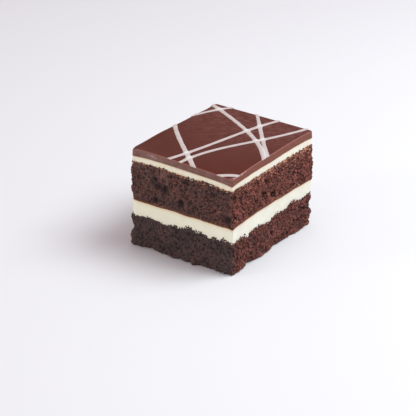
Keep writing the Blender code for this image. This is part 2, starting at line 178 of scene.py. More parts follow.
# The largest pores: x, y, z, radius
PORES = (
    (-17.2, NEAR, 40.9, 2.4), (-15.3, NEAR, 38.6, 2.2), (-10.4, NEAR, 38.0, 3.2),
    (-17.0, NEAR, 30.5, 2.2), (-0.4, NEAR, 32.6, 2.3), (3.9, NEAR, 45.7, 1.9),
    (20.5, NEAR, 43.2, 1.2), (29.5, NEAR, 31.2, 2.6), (-29.5, NEAR, 36.5, 1.1),
    (RIGHT, -8.9, 35.3, 2.0), (RIGHT, -0.5, 32.4, 2.2), (RIGHT, 5.1, 30.7, 1.7),
    (RIGHT, -16.6, 34.6, 1.2), (RIGHT, 18.9, 37.5, 1.8), (RIGHT, -7.0, 41.7, 1.6),
    (RIGHT, -11.2, 37.9, 1.2), (RIGHT, -35.6, 42.9, 1.6), (RIGHT, -35.5, 32.6, 1.5),
    (RIGHT, -34.5, 8.2, 1.5), (RIGHT, -1.6, 10.2, 1.4), (RIGHT, 14.4, 3.9, 1.3),
    (RIGHT, 24.0, 7.8, 1.2), (RIGHT, 29.8, 12.9, 1.5),
)

# Marks on the upper sponge: x, y, z, reach along the side, reach up it, strength. SMEARS are where
# cream and chocolate were dragged over it, and PRESSED is where the knife pressed its crumb paler.
SMEARS = (
    (RIGHT, -13.6, 47.0, 2.4, 1.2, 1.0), (RIGHT, -10.2, 44.6, 0.5, 2.4, 1.2),
    (RIGHT, -8.0, 45.2, 0.5, 2.0, 0.9), (RIGHT, 5.5, 47.6, 3.0, 1.0, 1.0),
    (RIGHT, 8.4, 42.0, 0.7, 0.8, 1.0), (RIGHT, 12.1, 46.0, 0.7, 2.6, 1.0),
    (RIGHT, 19.8, 44.6, 0.5, 3.4, 1.0), (RIGHT, 30.5, 46.7, 6.0, 2.0, 0.8),
    (2.7, NEAR, 48.2, 1.4, 0.6, 0.9), (1.9, NEAR, 41.8, 0.8, 1.3, 0.45),
)
PRESSED = (
    (-26.5, NEAR, 47.6, 1.4, 2.6, 0.8), (-21.5, NEAR, 45.2, 1.6, 3.0, 0.6),
    (-11.2, NEAR, 46.6, 1.6, 2.2, 1.0), (-9.0, NEAR, 43.4, 1.0, 2.4, 0.8),
    (RIGHT, 26.5, 47.2, 2.2, 1.4, 1.0),
)

# Pale marks on the glaze by its top edge, partly scuffs and partly painted highlight: one end, the
# other end, reach, strength
SCUFFS_AND_GLINTS = (
    ((-21.2, NEAR, 55.6), (-16.0, NEAR, 54.2), 1.3, 0.55),
    ((-19.8, NEAR, 55.5), (-17.6, NEAR, 54.9), 0.4, 0.85),
    ((30.8, -36.6, 54.3), (32.3, -34.4, 54.3), 0.6, 0.9),
    ((32.4, -31.5, 54.4), (32.4, -25.5, 54.6), 0.45, 0.7),
)

# The camera: where it looks, from the cake's own middle, how far away it stands, and its angles
CAMERA_AIM = Vector((7.04, -24.16, 27.0)) * MM
CAMERA_DISTANCE = 786.9 * MM
CAMERA_PITCH = math.radians(25.55)
CAMERA_YAW = math.radians(36.92)
CAMERA_ROLL = math.radians(-1.19)
SENSOR = 36
PICTURE_WIDTH = 416       # in pixels
FOCAL_LENGTH = 1500       # in pixels
LENS = SENSOR * FOCAL_LENGTH / PICTURE_WIDTH
FLOOR_REACH = 3.0         # from its middle to a side, in metres

# The soft lights: azimuth and elevation in degrees, distance and size in metres, watts, colour
LIGHTS = {
    "key": (122, 54, 1.0, 0.6, 8.3, (0.892, 0.987, 1.0)),
    "fill": (-40, 4, 1.4, 0.35, 6.0, (1.0, 0.985, 0.68)),
}
LIGHT_AIM = Vector((0, 0, 30)) * MM
SKY_STRENGTH = 0.498

# The glaze's right and back sides don't sag, so its box says where the cake's own middle is
glaze_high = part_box("chocolate_glaze")[1]
MIDDLE = np.array((WIDTH / 2 - glaze_high[0], DEPTH / 2 - glaze_high[1], 0))


# ---- Building in mesh


def in_metres(rows):
    """Rows of numbers in mm, in metres."""
    return [tuple(number * MM for number in row) for row in rows]


def noise_at(points, size, seed=0):
    """Smooth noise of a given size at each point."""
    shifted = (points / size + seed * 17.3).tolist()
    return np.fromiter((noise.noise(point) for point in shifted), float, len(shifted))


def smooth_step(value, low, high):
    """0 at low and below, 1 at high and above, and smooth between them."""
    share = np.clip((value - low) / (high - low), 0, 1)
    return share * share * (3 - 2 * share)


def corner(quarter):
    """The middle of a corner's round and its radius: 0 is the front corner, 1 the right one."""
    side_x, side_y, radius = CORNERS[quarter % 4]
    return side_x * (WIDTH / 2 - radius), side_y * (DEPTH / 2 - radius), radius


def outline(pitch):
    """Points round the cut, anticlockwise from the front corner, and the way the side faces."""
    points, normals = [], []
    for quarter in range(4):
        x, y, radius = corner(quarter)
        arc_steps = max(2, round(radius * math.pi / 2 / pitch))
        for step in range(arc_steps + 1):
            angle = (quarter - 1 + step / arc_steps) * math.pi / 2
            normals.append((math.cos(angle), math.sin(angle)))
            points.append((x + radius * normals[-1][0], y + radius * normals[-1][1]))
        facing = normals[-1]
        x, y, radius = corner(quarter + 1)
        start = np.array(points[-1])
        end = np.array((x + radius * facing[0], y + radius * facing[1]))
        steps = round(np.linalg.norm(end - start) / pitch)
        for step in range(1, steps):
            points.append(tuple(start + (end - start) * step / steps))
            normals.append(facing)
    return np.array(points), np.array(normals)


def seam_surface(seam, x, y):
    """A seam's height: a sloping plane that bows up towards the -Y and +X sides."""
    rise_x = (seam.front - seam.left) / WIDTH
    rise_y = (seam.right - seam.front) / DEPTH
    plane = seam.front + rise_x * (x - WIDTH / 2) + rise_y * (y + DEPTH / 2)
    across, along = 2 * x / WIDTH, 2 * y / DEPTH
    near = seam.bow_near * (1 - across ** 4) * ((1 - along) / 2) ** 2
    side = seam.bow_side * (1 - along ** 4) * ((1 + across) / 2) ** 2
    return plane + near + side


def seam_wander(seam, points):
    """How far the seam's edge strays from its surface at points round the cut."""
    x, y = points[:, 0], points[:, 1]
    spots = np.column_stack((x, y, np.full(len(points), seam.front)))
    height = seam.ripple * noise_at(spots, seam.ripple_length)
    height += seam.teeth * noise_at(spots, TEETH_LENGTH)
    for bump_x, bump_y, radius, lift in in_metres(BUMPS.get(seam, ())):
        height += lift * np.exp(-((x - bump_x) ** 2 + (y - bump_y) ** 2) / radius ** 2)
    if seam is GLAZE_TOP:
        height += CORNER_LIFT * 4 * x * y / (WIDTH * DEPTH)
    return height


def seam_edge(seam, points):
    """The height of the seam's edge at points round the cut."""
    return seam_surface(seam, points[:, 0], points[:, 1]) + seam_wander(seam, points)


def landmarks(points):
    """How the named lumps and broken places move points of the cut."""
    moved = np.zeros_like(points)
    for x, y, z, radius, push in in_metres(LANDMARKS):
        # 1 or -1 on the sides that the place lies on, and 0 between them
        facing = Vector((int(2.05 * x / WIDTH), int(2.05 * y / DEPTH), 0)).normalized()
        distance = np.linalg.norm(points - np.array((x, y, z)), axis=1)
        moved += np.outer(push * np.exp(-(distance / radius) ** 2), facing)
    return moved


def settled(points):
    """Where points of a cake that stood straight have settled to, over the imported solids."""
    low = np.maximum(0, 1 - points[:, 2] / SAG_HEIGHT)
    left = 0.5 - points[:, 0] / WIDTH
    near = 0.5 - points[:, 1] / DEPTH
    under = (FILLING_TOP.front - points[:, 2]) / (FILLING_TOP.front - FILLING_FOOT.front)
    tuck = np.clip(under, 0, 1) * (1 - left) * (1 - near)
    shift_x = SPREAD_X * low * left + TUCK_X * tuck
    shift_y = SPREAD_Y * low * left * near + TUCK_Y * tuck
    return points - np.column_stack((shift_x, shift_y, np.zeros(len(points)))) - MIDDLE


def blurred(grid, reach):
    """A wall's grid, each point averaged over the square of points round it."""
    padded = np.pad(grid, ((reach, reach), (0, 0)), mode="edge")
    up = sum(padded[shift:shift + len(grid)] for shift in range(2 * reach + 1))
    both = sum(np.roll(up, shift, axis=1) for shift in range(-reach, reach + 1))
    return both / (2 * reach + 1) ** 2


class Wall:
    """A grid of points over a layer's side: columns round the cut, rows from its foot to its top."""

    def __init__(self, low_seam, high_seam, cell, low_reach=0, high_reach=0, teeth=0):
        self.cell = cell
        self.plan, facing = outline(cell)
        reach = round(TURN_REACH / cell)
        turned = sum(np.roll(facing, shift, axis=0) for shift in range(-reach, reach + 1))
        self.normals = turned / np.linalg.norm(turned, axis=1)[:, None]
        self.columns = len(self.plan)
        low = seam_edge(low_seam, self.plan) - low_reach
        high = seam_edge(high_seam, self.plan) + high_reach
        high = high + teeth * self.ragged(high)
        self.rows = max(2, round((high_seam.front - low_seam.front) / cell)) + 1
        share = np.linspace(0, 1, self.rows)[:, None]
        self.z = low + (high - low) * share
        self.above = self.z - low
        self.below = high - self.z
        steps = np.linalg.norm(np.roll(self.plan, -1, axis=0) - self.plan, axis=1)
        self.girth = steps.sum()
        self.along = np.concatenate(([0], np.cumsum(steps)[:-1]))
        self.points = np.column_stack((np.tile(self.plan, (self.rows, 1)), self.z.ravel()))
        facing = np.tile(self.normals, (self.rows, 1))
        self.outward = np.column_stack((facing, np.zeros(self.z.size)))

    def ragged(self, edge):
        """The fine spikes and nicks of a torn edge, in stretches that come and go."""
        spots = np.column_stack((self.plan, edge))
        spikes = smooth_step(noise_at(spots, 0.65 * MM, 3), -0.05, 0.30) - 0.5
        torn = np.clip(0.80 + 1.2 * noise_at(spots, 6 * MM, 5), 0.3, 1.1)
        return spikes * torn + 0.4 * noise_at(spots, 1.7 * MM, 4)

    def field(self, size, seed=0, stretch=1):
        """Smooth noise over the wall, as a grid, drawn out up the wall by stretch."""
        return noise_at(self.points / (1, 1, stretch), size, seed).reshape(self.z.shape)

    def layered(self, base, bumps, seed):
        """A base height with smooth noise of several sizes and heights on it."""
        total = np.full_like(self.z, base)
        for step, (size, height) in enumerate(bumps):
            total += height * self.field(size, seed + step)
        return total

    def named(self, places):
        """Places (x, y, z, radius) as spots of the wall (along, z, radius)."""
        found = []
        for x, y, z, radius in in_metres(places):
            column = np.hypot(*(self.plan - (x, y)).T).argmin()
            found.append((self.along[column], z, radius))
        return found

    def scatter(self, per_mm2, radii, rng, start=0, end=None):
        """Seeded spots between two places along the wall, as (along, z, radius), smaller ones being
        commoner."""
        length = (end or self.girth) - start
        area = length * (self.z[-1] - self.z[0]).mean() / MM ** 2
        found = []
        for _ in range(int(per_mm2 * area)):
            along = start + rng.random() * length
            column = int(along / self.girth * self.columns) % self.columns
            foot, top = self.z[0, column], self.z[-1, column]
            radius = radii[0] + (radii[1] - radii[0]) * rng.random() ** 2
            found.append((along, foot + (top - foot) * rng.random(), radius))
        return found

    def spots(self, centres, warp_along, warp_up):
        """For each round spot (along, z, radius): its window of the wall and how far, in radii, from
        its middle each point there is."""
        pitch = self.girth / self.columns
        rise = (self.z[-1] - self.z[0]) / (self.rows - 1)
        for along, z, radius in centres:
            column = int(along / pitch) % self.columns
            span = int(1.6 * radius / pitch) + 2
            columns = np.arange(column - span, column + span + 1) % self.columns
            row = int((z - self.z[0, column]) / rise[column])
            rows = np.arange(max(0, row - span), min(self.rows, row + span + 1))
            if len(rows) == 0:
                continue
            window = np.ix_(rows, columns)
            across = (self.along[columns] - along + self.girth / 2) % self.girth - self.girth / 2
            up = self.z[window] - z + warp_up[window]
            yield window, np.hypot(across + warp_along[window], up) / radius


def new_object(name, data):
    """An object in the scene for a mesh, a lamp or the camera."""
    thing = bpy.data.objects.new(name, data)
    bpy.context.scene.collection.objects.link(thing)
    return thing


def set_values(mesh, attribute, numbers):
    """Gives a mesh an attribute, one number for each point."""
    layer = mesh.attributes.new(attribute, "FLOAT", "POINT")
    layer.data.foreach_set("value", numbers.astype(np.float32))


def closed_body(name, rings, values):
    """A closed mesh through rings of points, from inside its base, up its side, to inside its top.
    values are attributes, one number for each point of the rings."""
    columns = len(rings[0])
    points = np.concatenate([*rings, [rings[0].mean(axis=0)], [rings[-1].mean(axis=0)]])
    here = np.arange(columns)
    after = (here + 1) % columns
    faces = []
    for level in range(len(rings) - 1):
        low, high = level * columns, (level + 1) * columns
        faces.append(np.column_stack((low + here, low + after, high + after, high + here)))
    quads = np.concatenate(faces).tolist()
    base_middle, top_middle = len(points) - 2, len(points) - 1
    last = (len(rings) - 1) * columns
    base_fan = np.column_stack((after, here, np.full(columns, base_middle))).tolist()
    top_fan = np.column_stack((last + here, last + after, np.full(columns, top_middle))).tolist()
    mesh = bpy.data.meshes.new(name)
    mesh.from_pydata(points.tolist(), [], quads + base_fan + top_fan)
    mesh.shade_smooth()
    for attribute, numbers in values.items():
        set_values(mesh, attribute, np.concatenate((numbers, numbers[:1], numbers[-1:])))
    return new_object(name, mesh)


def drawn_in(ring, inset):
    """The places along X and Y of a ring's points, drawn in from the cut's sides."""
    return ring[:, 0] * (1 - 2 * inset / WIDTH), ring[:, 1] * (1 - 2 * inset / DEPTH)


def inner_ring(ring, seam):
    """A ring set in from a wall's edge, on the plane of its seam."""
    x, y = drawn_in(ring, RIM_DEPTH)
    return np.column_stack((x, y, seam_surface(seam, x, y)))


def layer_body(name, wall, points, low_seam, high_seam, values):
    """A layer's closed mesh: its wall of points, and its seams with the layers under and over it."""
    rings = points.reshape(wall.rows, wall.columns, 3)
    low_inner, high_inner = inner_ring(rings[0], low_seam), inner_ring(rings[-1], high_seam)
    rings = [settled(ring) for ring in (low_inner, *rings, high_inner)]
    numbers = {}
    for attribute, grid in values.items():
        numbers[attribute] = np.concatenate((grid[0], grid.ravel(), grid[-1]))
    return closed_body(name, rings, numbers)


# ---- The sponges


def torn_pores(wall, rng, seed):
    """How deep the crumb is torn open, by ragged gaps all over, round holes and the largest pores;
    and, from 0 to 1, how far inside one of the largest each point is."""
    gaps = 0.35 * wall.field(2.3 * MM, seed) + 0.50 * wall.field(1.2 * MM, seed + 1)
    gaps += 0.55 * wall.field(0.75 * MM, seed + 4) + 0.25 * wall.field(7 * MM, seed + 5)
    pores = GAP_DEPTH * smooth_step(gaps, 0.05, 0.40)
    inside = np.zeros_like(pores)
    warps = [1.0 * MM * wall.field(1.6 * MM, seed + step) for step in (2, 3)]
    holes = wall.scatter(HOLES_PER_MM2, HOLE_RADII, rng)
    for window, reach in wall.spots(holes, *warps):
        hollow = np.clip(1.25 * (1 - reach ** 2.5), 0, 1)
        pores[window] = np.maximum(pores[window], HOLE_DEPTH * hollow)
    # from the right corner round the back to the left one, the large pores lie at random
    large = wall.scatter(PORES_PER_MM2, PORE_RADII, rng, DEPTH, 2 * DEPTH + WIDTH)
    for window, reach in wall.spots(wall.named(PORES) + large, *warps):
        hollow = 1 - smooth_step(reach, 0.3, 1.3)
        pores[window] = np.maximum(pores[window], PORE_DEPTH * hollow)
        inside[window] = np.maximum(inside[window], hollow)
    return pores, inside


def loose_grains(wall, rng, seed):
    """How high the crumbs that cling to the cut stand."""
    warps = [0.3 * MM * wall.field(0.8 * MM, seed + step) for step in (0, 1)]
    grains = np.zeros_like(wall.z)
    for window, reach in wall.spots(wall.scatter(GRAINS_PER_MM2, GRAIN_RADII, rng), *warps):
        tall = rng.uniform(*GRAIN_HEIGHTS) * MM
        grains[window] = np.maximum(grains[window], tall * np.sqrt(np.clip(1 - reach ** 2, 0, 1)))
    return grains


def marks_over(wall, places):
    """How strongly each point of a wall lies under one of the places."""
    x, y, z = wall.points.T
    marks = np.zeros_like(wall.z)
    for *place, strength in places:
        mark_x, mark_y, mark_z, along, up = (number * MM for number in place)
        flat = ((x - mark_x) ** 2 + (y - mark_y) ** 2) / along ** 2
        bump = strength * np.exp(-flat - ((z - mark_z) / up) ** 2)
        marks = np.maximum(marks, bump.reshape(wall.z.shape))
    return marks


def smear_over(wall, seed):
    """How strongly cream and chocolate are dragged over each point of the upper sponge's side."""
    right_side = np.clip(wall.normals[:, 0], 0, 1) ** 2
    reach = (1.4 + 2.2 * right_side) * MM * (1 + 1.1 * wall.field(6 * MM, seed)[-1])
    strength = 0.55 + 0.45 * right_side * smooth_step(wall.plan[:, 1], -24 * MM, -12 * MM)
    band = np.clip(1.2 - wall.below / np.maximum(reach, 0.5 * MM), 0, 1) * strength
    streaks = smooth_step(wall.field(0.65 * MM, seed + 1, 1.8), -0.10, 0.30)
    marks = marks_over(wall, SMEARS) * (0.4 + 0.8 * streaks)
    return np.maximum(band * (0.15 + 0.85 * streaks), marks)


def crumb_light_and_shade(normals, near_shading):
    """How strongly the crumb shows each tint, by the way that its side faces: painted light over +X
    and painted shade over -Y.
    """
    over_x = np.clip(normals[:, 0], 0, 1) ** 2
    over_y = np.clip(-normals[:, 1], 0, 1) ** 2
    tints = {}
    for tint, right, near, other in zip(TINTS, RIGHT_PAINTED_LIGHT, near_shading, ELSEWHERE):
        tints[tint] = other + (right - other) * over_x + (near - other) * over_y
    return tints


def crumb_relief(wall, seed, on_floor):
    """How far the crumb stands out of the cut, how much of that its edges allow, and how far inside a
    large pore each point is."""
    rng = random.Random(seed)
    lumps = wall.layered(CRUMB_BIAS, LUMPS, seed)
    pores, inside = torn_pores(wall, rng, seed + 3)
    grains = loose_grains(wall, rng, seed + 7) * (1 - 0.5 * smooth_step(pores, 0.2 * MM, 0.6 * MM))
    skin = 1 if on_floor else smooth_step(wall.above, 0.5 * MM, 1.2 * MM)
    hold = smooth_step(wall.below, 0.1 * MM, 0.9 * MM) * skin
    relief = RIM_OUT + (lumps + grains - pores - RIM_OUT) * hold
    relief += 0.16 * MM * wall.field(0.55 * MM, seed + 9)
    if on_floor:
        relief -= FOOT_TUCK * (1 - smooth_step(wall.above, 0.4 * MM, 1.2 * MM))
    return np.clip(relief, DEEPEST, HIGHEST), hold, inside


def crumb_looks(wall, out, inside, seed, on_floor, near):
    """A sponge's attributes, where out is how far each point stands out of the cut. depth is how dark
    the
    crumb is there: darker in its hollows and large pores, as painted shade on top of its own darker
    pores, and lighter where it stands out, as painted highlight; crust and smear are for the upper
    sponge."""
    # How far each point lies below the crumb round it, which darkens it as painted shade
    near_hollow = blurred(out, round(0.9 * MM / wall.cell)) - out
    wide_hollow = blurred(out, round(2.2 * MM / wall.cell)) - out
    hollow = (0.75 * near_hollow + 0.3 * wide_hollow) / (1.1 * MM)
    looks = {}
    # the painted light and shade of the side that each point faces
    for tint, values in crumb_light_and_shade(wall.normals, near).items():
        looks[tint] = np.tile(values, (wall.rows, 1))
    looks["tone"] *= 1 + 0.6 * wall.field(3.5 * MM, seed + 11) + 0.4 * wall.field(9 * MM, seed + 14)
    # Inside the large pores the painted sheen thins and the crumb darkens, as painted shade
    looks["sheen_and_pallor"] *= 1 - 0.3 * inside
    looks["depth"] = looks.pop("shade") + looks["grain"] * hollow + 0.8 * inside
    looks["crust"] = looks["smear"] = np.zeros_like(wall.z)
    if not on_floor:
        looks["sheen_and_pallor"] += 0.065 * marks_over(wall, PRESSED)
        looks["crust"] = 1 - smooth_step(wall.above, 0.55 * MM, 1.1 * MM)
        looks["smear"] = smear_over(wall, seed + 12)
    return looks


def make_sponge(name, low_seam, high_seam, seed, teeth, near):
    """A sponge with an open crumb: torn pores, rounded lumps and loose grains. teeth is how far its
    upper edge is torn, and near are its tints over -Y, which paint shade there. The upper sponge has a
    crust at its foot."""
    wall = Wall(low_seam, high_seam, CRUMB_CELL, teeth=teeth)
    on_floor = low_seam is FLOOR
    relief, hold, inside = crumb_relief(wall, seed, on_floor)
    marks = landmarks(wall.points)
    points = wall.points + wall.outward * relief.reshape(-1, 1) + marks
    points[:, 2] += 0.25 * MM * (wall.field(1.2 * MM, seed + 10) * hold).ravel()
    if on_floor:
        points[:, 2] = np.maximum(points[:, 2], 0)
    out = relief + (marks * wall.outward).sum(axis=1).reshape(wall.z.shape)
    looks = crumb_looks(wall, out, inside, seed, on_floor, near)
    return layer_body(name, wall, points, low_seam, high_seam, looks)


def round_ball():
    """The points and the faces of a ball of radius 1."""
    bm = bmesh.new()
    bmesh.ops.create_icosphere(bm, subdivisions=2, radius=1)
    points = np.array([vert.co for vert in bm.verts])
    faces = np.array([[vert.index for vert in face.verts] for face in bm.faces])
    bm.free()
    return points, faces


def make_seam_crumbs(name, seam, seed, count, spread, near):
    """Loose crumbs that cling to the cream along a sponge's torn edge, a few of them as far as spread
    over it."""
    rng = random.Random(seed)
    ball, faces = round_ball()
    plan, normals = outline(CRUMB_CELL)
    edge = seam_edge(seam, plan)
    dense = noise_at(np.column_stack((plan, edge)), 5 * MM, seed)
    # each crumb takes the painted light and shade of the side that it lies by
    tints = crumb_light_and_shade(normals, near)
    points, meshes, values = [], [], {"depth": [], "tone": [], "sheen_and_pallor": [], "grain": []}
    while len(meshes) < count:
        column = rng.randrange(len(plan))
        if rng.random() > 0.4 + 1.5 * dense[column]:
            continue
        size = rng.uniform(*CRUMB_RADII)
        rough = 1 + 0.5 * noise_at(ball + rng.random() * 50, 0.9)
        shape = ball * rough[:, None] * [rng.uniform(0.7, 1.3) for _ in range(3)] * size
        up = rng.uniform(-0.3 * MM, 0.2 * MM) + rng.random() ** 3 * spread
        x, y = plan[column] + normals[column] * (0.25 * size - CREAM_SET)
        meshes.append(faces + len(ball) * len(meshes))
        points.append(shape + (x, y, edge[column] + up))
        values["depth"].append(np.full(len(ball), rng.uniform(0.2, 0.7)))
        for key in ("tone", "sheen_and_pallor", "grain"):
            values[key].append(np.full(len(ball), tints[key][column]))
    mesh = bpy.data.meshes.new(name)
    mesh.from_pydata(settled(np.concatenate(points)).tolist(), [], np.concatenate(meshes).tolist())
    for attribute, numbers in values.items():
        set_values(mesh, attribute, np.concatenate(numbers))
    return new_object(name, mesh)


# ---- The creams


def make_cream(name, low_seam, high_seam, seed, foot_stain, top_stain):
    """A layer of cream, cut smooth, with the knife's faint drag on it. The stains are how strongly the
    layers under and over it have tinted its edges."""
    high_reach = OVERLAP if high_seam is FILLING_TOP else 0
    wall = Wall(low_seam, high_seam, CREAM_CELL, low_reach=OVERLAP, high_reach=high_reach)
    relief = wall.layered(-CREAM_SET, DRAG, seed)
    points = wall.points + wall.outward * relief.reshape(-1, 1)
    patchy = np.clip(0.5 + 1.1 * wall.field(3.5 * MM, seed + 3), 0, 1)
    under_top = np.exp(-np.maximum(wall.below - high_reach - 0.1 * MM, 0) / (0.70 * MM))
    over_foot = np.exp(-np.maximum(wall.above - OVERLAP, 0) / (0.2 * MM + 0.5 * MM * patchy))
    foot = foot_stain * over_foot * (0.3 + 0.7 * patchy)
    stain = np.maximum(top_stain * under_top, foot)
    return layer_body(name, wall, points, low_seam, high_seam, {"stain": stain})


# ---- The glaze and its lines


def edge_drop(inset):
    """How far the rounded top edge lies below the top, at a distance in from the side."""
    reach = np.maximum(0, EDGE_RADIUS - inset)
    return EDGE_RADIUS - np.sqrt(np.maximum(0, EDGE_RADIUS ** 2 - reach ** 2))


def scuffs_and_glints(points):
    """How strongly each point of the glaze takes the pale marks: scuffs and painted highlight."""
    marks = np.zeros(len(points))
    for start, end, reach, strength in SCUFFS_AND_GLINTS:
        start, end = np.array(start) * MM, np.array(end) * MM
        share = np.clip((points - start) @ (end - start) / ((end - start) @ (end - start)), 0, 1)
        distance = np.linalg.norm(points - start - np.outer(share, end - start), axis=1)
        marks = np.maximum(marks, strength * np.exp(-(distance / (reach * MM)) ** 2))
    return marks


def glaze_bend(points):
    """How far the knife left the glaze's side out of true."""
    return 0.10 * MM * noise_at(points / (1, 1, 0.5), 5 * MM, 30)


def glaze_side_rings(plan, normals, foot, top):
    """Rings up the glaze's side."""
    rings = []
    for step in range(GLAZE_SIDE_STEPS):
        z = foot + (top - EDGE_RADIUS - foot) * step / GLAZE_SIDE_STEPS
        level = np.column_stack((plan, z))
        push = glaze_bend(level) + 0.05 * MM * noise_at(level / (1, 1, 0.3), 1.5 * MM, 31)
        rings.append(np.column_stack((plan + normals * push[:, None], z)))
    return rings


def glaze_edge_rings(plan, normals, top):
    """Rings over the glaze's rounded top edge."""
    bend = glaze_bend(np.column_stack((plan, top)))
    rings = []
    for step in range(GLAZE_EDGE_STEPS + 1):
        turn = math.pi / 2 * step / GLAZE_EDGE_STEPS
        inset = EDGE_RADIUS * (1 - math.cos(turn))
        push = bend * (1 - step / GLAZE_EDGE_STEPS) - inset
        rings.append(np.column_stack((plan + normals * push[:, None], top - edge_drop(inset))))
    return rings


def glaze_top_rings(edge_ring):
    """Rings from the glaze's top edge in over its rim and on towards its middle."""
    rings = []
    for step in range(1, GLAZE_RIM_STEPS + 1):
        x, y = drawn_in(edge_ring, RIM_DEPTH * step / GLAZE_RIM_STEPS)
        rings.append(np.column_stack((x, y, top_height(np.column_stack((x, y))))))
    rim_plan = rings[-1][:, :2]
    for step in range(1, GLAZE_TOP_STEPS):
        x, y = rim_plan.T * (1 - step / GLAZE_TOP_STEPS)
        rings.append(np.column_stack((x, y, seam_surface(GLAZE_TOP, x, y))))
    return rings


def make_glaze():
    """The glaze, with attributes that say how far each point is of its cut side and of its edge, how
    far it faces -Y (for the painted reflection and shade there), where the painted sheen at the back
    lies, and how strongly it takes the pale scuffs and painted highlight."""
    plan, normals = outline(GLAZE_CELL)
    foot, top = seam_edge(COAT_TOP, plan), seam_edge(GLAZE_TOP, plan)
    base = inner_ring(np.column_stack((plan, foot)), COAT_TOP)
    side = glaze_side_rings(plan, normals, foot, top)
    over = glaze_edge_rings(plan, normals, top)
    inward = glaze_top_rings(over[-1])
    rings = [base, *side, *over, *inward]
    shares = [step / GLAZE_EDGE_STEPS for step in range(len(over))]
    cut = [0] + [1] * len(side) + [1 - share for share in shares] + [0] * len(inward)
    # the rounded top edge, where a painted highlight lies
    edge = [0] * (1 + len(side)) + [math.sin(math.pi * share) for share in shares] + [0] * len(inward)
    left_side = np.clip(-normals[:, 1], 0, 1) ** 2
    x, y = np.concatenate(rings)[:, :2].T / MM
    values = {
        "cut": np.repeat(cut, len(plan)),
        "edge": np.repeat(edge, len(plan)),
        # how far each point faces -Y, for the painted reflection and shade there
        "near_side_shading": np.tile(left_side, len(rings)),
        # lighter towards the back of the top: painted sheen
        "back_sheen": smooth_step(y - 0.012 * (x - 5) ** 2, -30, 28),
        "scuff_and_glint": scuffs_and_glints(np.concatenate(rings)),
    }
    return closed_body("glaze", [settled(ring) for ring in rings], values)


def top_height(plan):
    """The glaze's top surface, as it would run on over its rounded edge: uneven at its rim, and then
    smooth."""
    x, y = plan[:, 0], plan[:, 1]
    inset = np.maximum(0, np.minimum(WIDTH / 2 - abs(x), DEPTH / 2 - abs(y)))
    uneven = 1 - smooth_step(inset, 0, RIM_DEPTH)
    return seam_surface(GLAZE_TOP, x, y) + uneven * seam_wander(GLAZE_TOP, plan)


def bezier(controls, count):
    """Points of the curve through a line's control points."""
    share = np.linspace(0, 1, count)
    last = len(controls) - 1
    points = np.zeros((count, 2))
    for order, control in enumerate(controls):
        weight = math.comb(last, order) * share ** order * (1 - share) ** (last - order)
        points += np.outer(weight, control)
    return points * MM


def distance_to_others(plan, name):
    """How far each point of the top is from the nearest of the other lines' middles."""
    curves = [bezier(LINES[other][1], MEETING_STEPS) for other in LINES if other != name]
    others = np.concatenate(curves)
    return np.array([np.hypot(*(others - point).T).min() for point in plan])


def line_body(bm, name, seed):
    """Adds one piped line: a flattened tube, a little uneven, that swells where it meets another."""
    width, controls = LINES[name]
    length = np.linalg.norm(np.diff(bezier(controls, CURVE_STEPS), axis=0), axis=1).sum()
    count = int(length / LINE_CELL)
    middle = bezier(controls, count)
    ahead = np.gradient(middle, axis=0)
    ahead /= np.linalg.norm(ahead, axis=1)[:, None]
    across = np.column_stack((-ahead[:, 1], ahead[:, 0]))
    run = np.column_stack((np.linspace(0, length, count), np.full(count, seed), np.zeros(count)))
    meeting = np.exp(-(distance_to_others(middle, name) / LINE_MEETING) ** 2)
    half = width / 2 * (1 + 0.16 * noise_at(run, 6 * MM, seed) + 0.07 * noise_at(run, 1.5 * MM, seed))
    half *= 1 + 0.30 * meeting
    tall = width / 2 * LINE_FLATNESS * (1 + 0.25 * meeting)
    loops = []
    for turn in np.linspace(0, 2 * math.pi, LINE_SIDES, endpoint=False):
        side = math.copysign(abs(math.cos(turn)) ** 0.8, math.cos(turn))
        up = math.copysign(abs(math.sin(turn)) ** 0.7, math.sin(turn))
        plan = middle + across * (half * side)[:, None]
        z = top_height(plan) - LINE_SINK + tall * up
        loops.append(np.column_stack((plan, z)).tolist())
    verts = [[bm.verts.new(point) for point in loop] for loop in loops]
    for step in range(count - 1):
        for side, here in enumerate(verts):
            after = verts[(side + 1) % LINE_SIDES]
            bm.faces.new((here[step], here[step + 1], after[step + 1], after[step]))
    bm.faces.new([loop[0] for loop in verts])
    bm.faces.new([loop[-1] for loop in reversed(verts)])


def cut_ends(bm):
    """Cuts a line off beside the cake's four sides."""
    across, along = WIDTH / 2 - LINE_INSET, DEPTH / 2 - LINE_INSET
    for place in ((across, 0, 0), (-across, 0, 0), (0, along, 0), (0, -along, 0)):
        everything = [*bm.verts, *bm.edges, *bm.faces]
        bmesh.ops.bisect_plane(bm, geom=everything, plane_co=place, plane_no=place, clear_outer=True)
    rims = [edge for edge in bm.edges if edge.is_boundary]
    bmesh.ops.holes_fill(bm, edges=rims)


